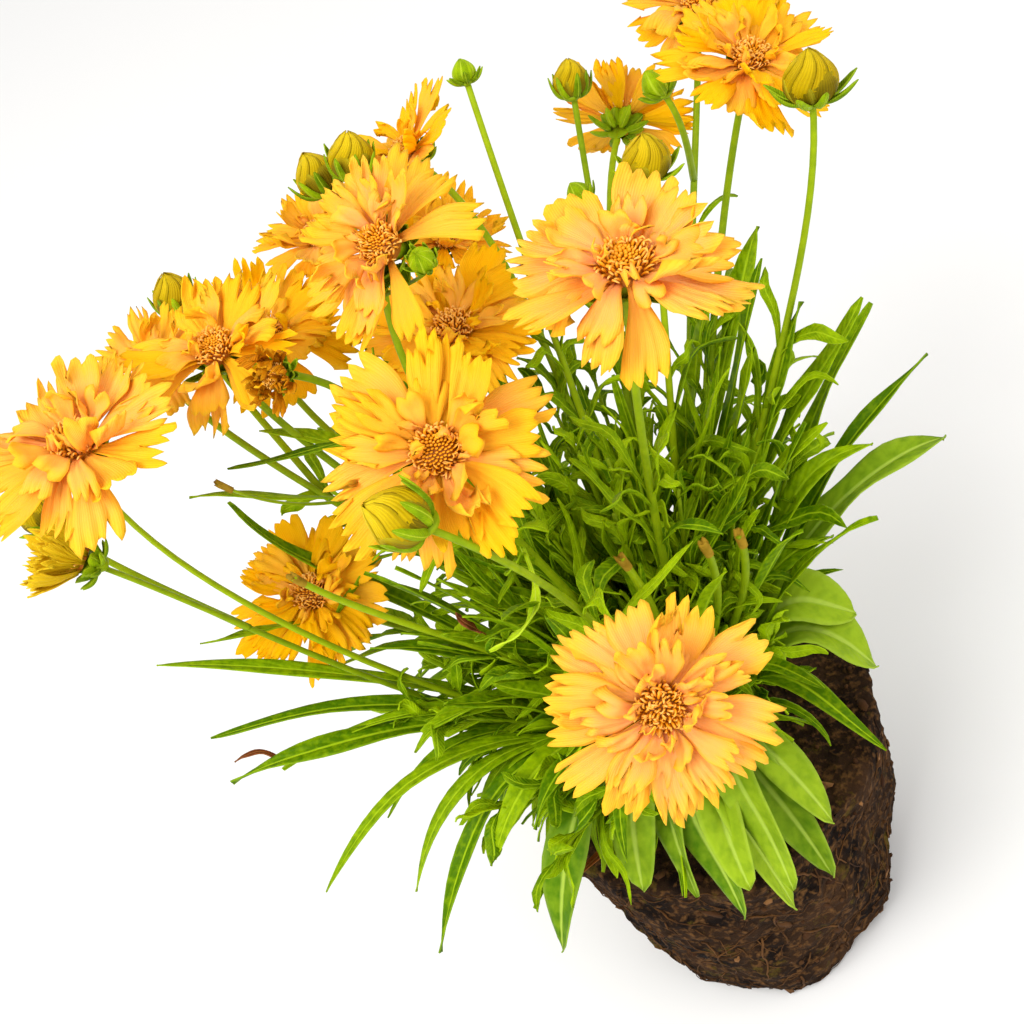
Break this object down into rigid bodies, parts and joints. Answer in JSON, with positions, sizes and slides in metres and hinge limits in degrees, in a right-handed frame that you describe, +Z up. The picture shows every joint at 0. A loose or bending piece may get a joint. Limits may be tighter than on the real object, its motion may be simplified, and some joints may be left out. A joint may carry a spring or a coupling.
{
  "type": "flowering coreopsis plant with root ball",
  "caption": "Flowering coreopsis with toothed yellow-orange semi-double blooms and striped buds on slender stems above a leafy clump, lifted with its tapered root ball.",
  "frame": {"origin": "centre of the root ball's flat base, on the surface that the plant stands on", "axes": "+Z up along the plant's axis, -Y towards the lowest front bloom, +X to the right seen from the front"},
  "size_m": [0.2771, 0.2383, 0.3021],
  "materials": {
    "soil": "moist dark potting soil with fibrous roots and bark, matt",
    "green": "fresh yellow-green leaves, stems and bracts, soft satin",
    "rays": "thin yellow-orange rays with fine lengthwise veins, matt and slightly translucent",
    "spent_rays": "dried orange-brown rays, matt",
    "disc": "crowded orange-brown and yellow disc florets, matt",
    "bud_petals": "folded olive-yellow petals with fine darker stripes, satin"
  },
  "bodies": {
    "root": {"root_ball": "soil", "stems_and_leaves": "green", "bloom_01_rays": "rays", "bloom_01_disc": "disc", "bloom_02_rays": "rays", "bloom_02_disc": "disc", "bloom_03_rays": "rays", "bloom_03_disc": "disc", "bloom_04_rays": "rays", "bloom_04_disc": "disc", "bloom_05_rays": "rays", "bloom_05_disc": "disc", "bloom_06_rays": "rays", "bloom_06_disc": "disc", "bloom_07_rays": "rays", "bloom_07_disc": "disc", "bloom_08_rays": "rays", "bloom_08_disc": "disc", "bloom_09_rays": "spent_rays", "bloom_09_disc": "disc", "bloom_10_rays": "rays", "bloom_10_disc": "disc", "bloom_11_rays": "rays", "bloom_11_disc": "disc", "bloom_12_rays": "rays", "bloom_12_disc": "disc", "bloom_13_rays": "rays", "bloom_13_disc": "disc", "bloom_14_rays": "rays", "bloom_14_disc": "disc", "bloom_15_rays": "rays", "bloom_15_disc": "disc", "bloom_16_rays": "rays", "bloom_16_disc": "disc", "bloom_17_rays": "rays", "bloom_17_disc": "disc", "bloom_18_rays": "rays", "bloom_18_disc": "disc", "bud_01_petals": "bud_petals", "bud_02_petals": "bud_petals", "bud_03_petals": "bud_petals", "bud_04_petals": "bud_petals", "bud_05_petals": "bud_petals", "bud_06_petals": "bud_petals", "bud_07_petals": "bud_petals", "bud_08_petals": "bud_petals"}
  },
  "joints": []
}
